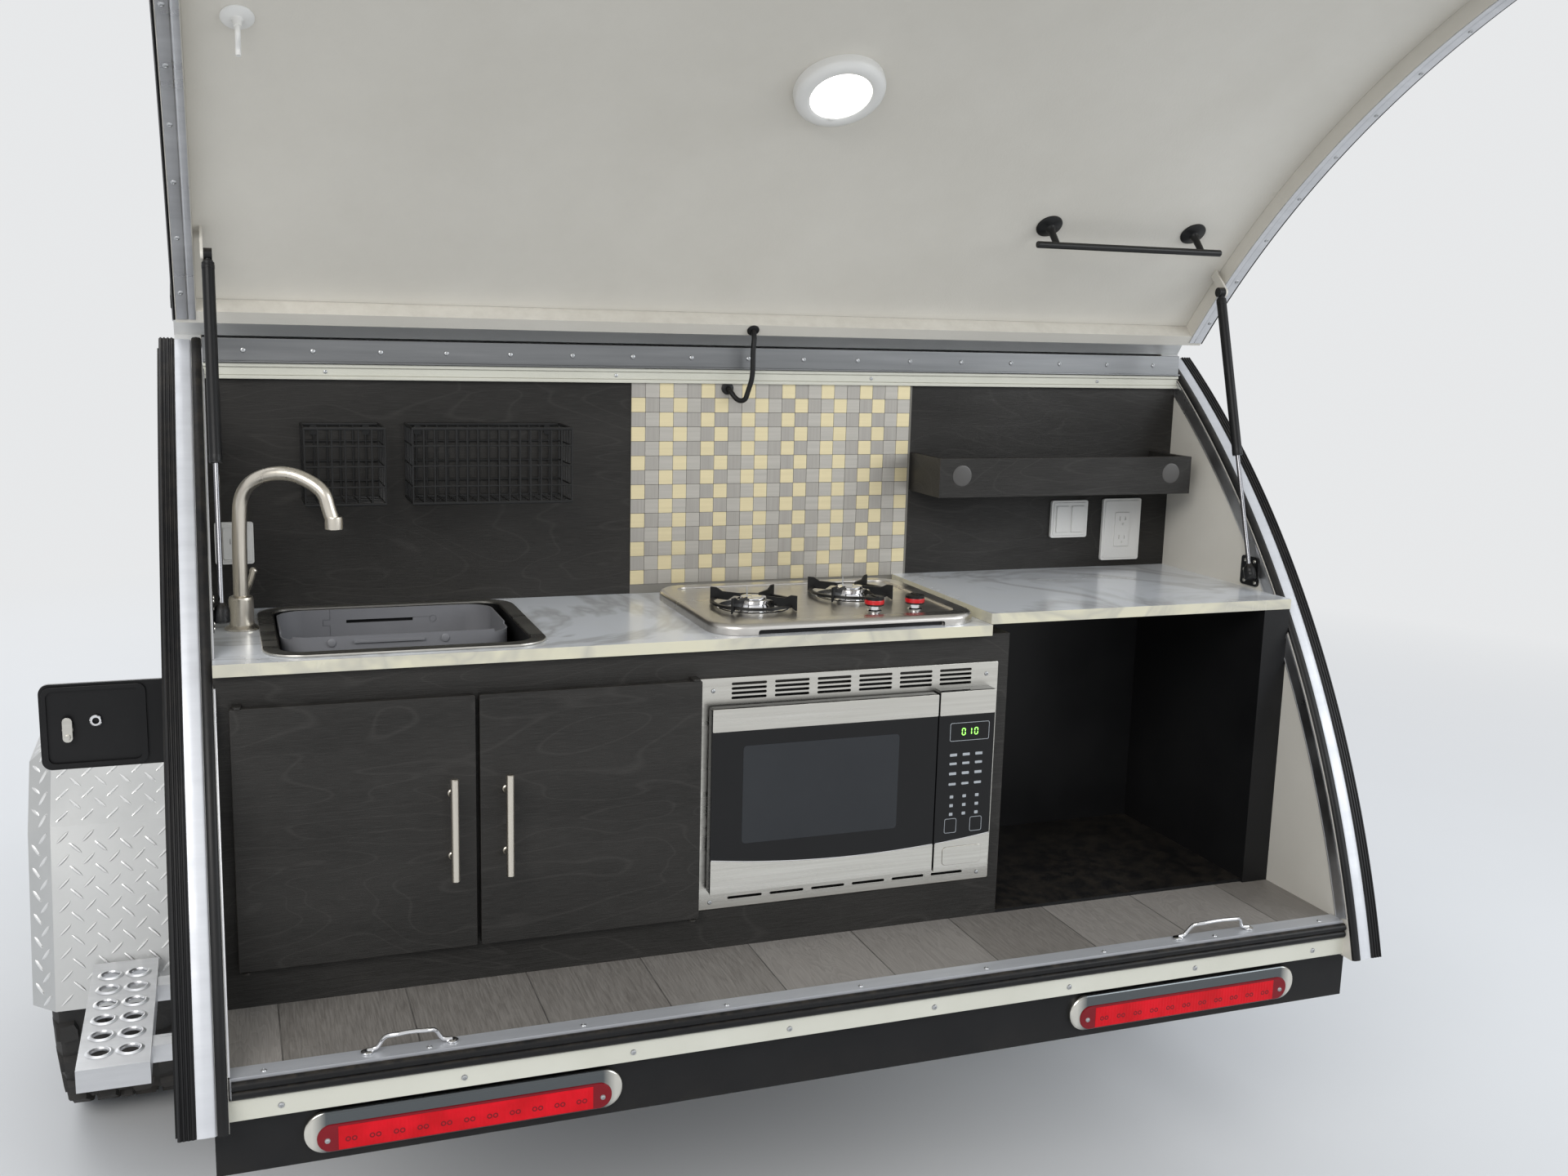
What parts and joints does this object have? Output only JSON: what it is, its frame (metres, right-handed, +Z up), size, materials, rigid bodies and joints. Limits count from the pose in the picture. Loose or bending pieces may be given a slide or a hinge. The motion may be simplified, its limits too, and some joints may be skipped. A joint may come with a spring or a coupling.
{
  "type": "teardrop trailer",
  "caption": "Teardrop camping trailer with a rear galley under a lifting hatch, side doors, off-road tyres, A-frame tongue with a ball coupler and jack.",
  "frame": {"origin": "centre of the coupler's ball socket", "axes": "+X forward, the way it is towed; +Y to its left; +Z up, with the deck level"},
  "size_m": [4.4567, 2.49, 2.2628],
  "materials": {
    "wall_panel": "satin off-white fibreglass-faced panel",
    "frame_black": "semi-gloss black paint",
    "trim_black": "black ribbed edge trim",
    "tread_plate": "bright tread plate",
    "aluminium": "brushed strip",
    "zinc_steel": "zinc-plated steel",
    "stainless": "stainless steel",
    "stained_ply": "black-stained plywood",
    "deck_boards": "grey wood-grain boards",
    "marble_top": "white marble-look laminate",
    "tyre": "off-road tread",
    "wheel_paint": "black painted steel wheel",
    "lamp_lens": "red lens in a chrome bezel",
    "clear_glass": "tinted window glass",
    "dark_glass": "black glass door",
    "white_plastic": "white moulded plastic",
    "black_plastic": "black moulded plastic",
    "wire_black": "black coated wire",
    "chrome": "polished",
    "nickel": "brushed nickel"
  },
  "bodies": {
    "trailer": {"chassis_frame": "frame_black", "tongue_frame": "frame_black", "coupler": "zinc_steel", "jack_tube": "zinc_steel", "axle_beam": "frame_black", "bumper": "frame_black", "tail_lamps": "lamp_lens", "floor_deck": "deck_boards", "side_wall_left": "wall_panel", "side_wall_right": "wall_panel", "roof_shell": "wall_panel", "front_panel": "wall_panel", "bulkhead": "stained_ply", "galley_header": "aluminium", "rear_trims": "trim_black", "threshold": "aluminium", "utility_box": "trim_black", "cabinet_frame": "stained_ply", "cooler_bay": "black_plastic", "counter_left": "marble_top", "counter_right": "marble_top", "sink": "stainless", "cooktop": "stainless", "faucet": "nickel", "microwave_case": "stainless", "shelf": "stained_ply", "wire_baskets": "wire_black", "wall_plates": "white_plastic", "strut_brackets": "frame_black", "roof_vent": "white_plastic", "tongue_box": "tread_plate", "fenders": "tread_plate", "steps": "aluminium"},
    "wheel_left": {"tyre_left": "tyre", "rim_left": "wheel_paint"},
    "wheel_right": {"tyre_right": "tyre", "rim_right": "wheel_paint"},
    "jack_foot": {"jack_leg": "zinc_steel"},
    "hatch": {"hatch_shell": "wall_panel", "hatch_lamp": "white_plastic", "towel_bar": "wire_black"},
    "strut_cylinder_left": {"strut_cylinder_left": "frame_black"},
    "strut_cylinder_right": {"strut_cylinder_right": "frame_black"},
    "strut_rod_left": {"strut_rod_left": "chrome"},
    "strut_rod_right": {"strut_rod_right": "chrome"},
    "utility_door": {"utility_door": "black_plastic"},
    "entry_door_left": {"entry_door_left": "wall_panel", "entry_window_left": "clear_glass"},
    "entry_door_right": {"entry_door_right": "wall_panel", "entry_window_right": "clear_glass"},
    "cabinet_door_left": {"cabinet_door_left": "stained_ply"},
    "cabinet_door_right": {"cabinet_door_right": "stained_ply"},
    "microwave_door": {"microwave_door": "dark_glass"},
    "tongue_lid": {"tongue_lid": "tread_plate"}
  },
  "joints": [
    {"name": "wheel_left_spin", "type": "hinge", "parent": "trailer", "child": "wheel_left", "pos_m": [-2.69, 1.1075, -0.135], "axis": [0, 1, 0], "continuous": true},
    {"name": "wheel_right_spin", "type": "hinge", "parent": "trailer", "child": "wheel_right", "pos_m": [-2.69, -1.1075, -0.135], "axis": [0, 1, 0], "continuous": true},
    {"name": "jack_slide", "type": "slide", "parent": "trailer", "child": "jack_foot", "axis": [0, 0, 1], "range_m": [0, 0.25]},
    {"name": "hatch_lift", "type": "hinge", "parent": "trailer", "child": "hatch", "pos_m": [-3.39236, 0, 1.13111], "axis": [0, 1, 0], "range_deg": [-87, 0]},
    {"name": "utility_swing", "type": "hinge", "parent": "trailer", "child": "utility_door", "pos_m": [-3.545, 0.956, 0.504], "axis": [0, 0, -1], "range_deg": [-90, 0]},
    {"name": "entry_left_swing", "type": "hinge", "parent": "trailer", "child": "entry_door_left", "pos_m": [-1.64661, 0.954, 0.59], "axis": [0, 0, -1], "range_deg": [0, 100]},
    {"name": "entry_right_swing", "type": "hinge", "parent": "trailer", "child": "entry_door_right", "pos_m": [-1.64661, -0.954, 0.59], "axis": [0, 0, 1], "range_deg": [0, 100]},
    {"name": "cabinet_left_swing", "type": "hinge", "parent": "trailer", "child": "cabinet_door_left", "pos_m": [-3.817, 0.876, 0.39], "axis": [0, 0, -1], "range_deg": [0, 86]},
    {"name": "cabinet_right_swing", "type": "hinge", "parent": "trailer", "child": "cabinet_door_right", "pos_m": [-3.817, 0.212, 0.39], "axis": [0, 0, 1], "range_deg": [0, 86]},
    {"name": "microwave_swing", "type": "hinge", "parent": "trailer", "child": "microwave_door", "pos_m": [-3.823, 0.182, 0.385], "axis": [0, 0, -1], "range_deg": [0, 90]},
    {"name": "lid_lift", "type": "hinge", "parent": "trailer", "child": "tongue_lid", "pos_m": [-1.02069, 0, 0.4135], "axis": [0, -1, 0], "range_deg": [0, 75]},
    {"name": "strut_turn_left", "type": "hinge", "parent": "hatch", "child": "strut_cylinder_left", "pos_m": [-3.55463, 0.89, 1.20595], "axis": [0, 1, 0], "range_deg": [0, 110.11]},
    {"name": "strut_slide_left", "type": "slide", "parent": "strut_cylinder_left", "child": "strut_rod_left", "axis": [-0.2853, 0, -0.9584], "range_m": [-0.17179, 0]},
    {"name": "strut_turn_right", "type": "hinge", "parent": "hatch", "child": "strut_cylinder_right", "pos_m": [-3.55463, -0.89, 1.20595], "axis": [0, 1, 0], "range_deg": [0, 110.11]},
    {"name": "strut_slide_right", "type": "slide", "parent": "strut_cylinder_right", "child": "strut_rod_right", "axis": [-0.2853, 0, -0.9584], "range_m": [-0.17179, 0]}
  ],
  "couplings": [
    {"joint": "strut_turn_left", "follows": "hatch_lift", "ratio": -1.2655},
    {"joint": "strut_slide_left", "follows": "hatch_lift", "m_per_rad": 0.11307},
    {"joint": "strut_turn_right", "follows": "hatch_lift", "ratio": -1.2655},
    {"joint": "strut_slide_right", "follows": "hatch_lift", "m_per_rad": 0.11307}
  ]
}
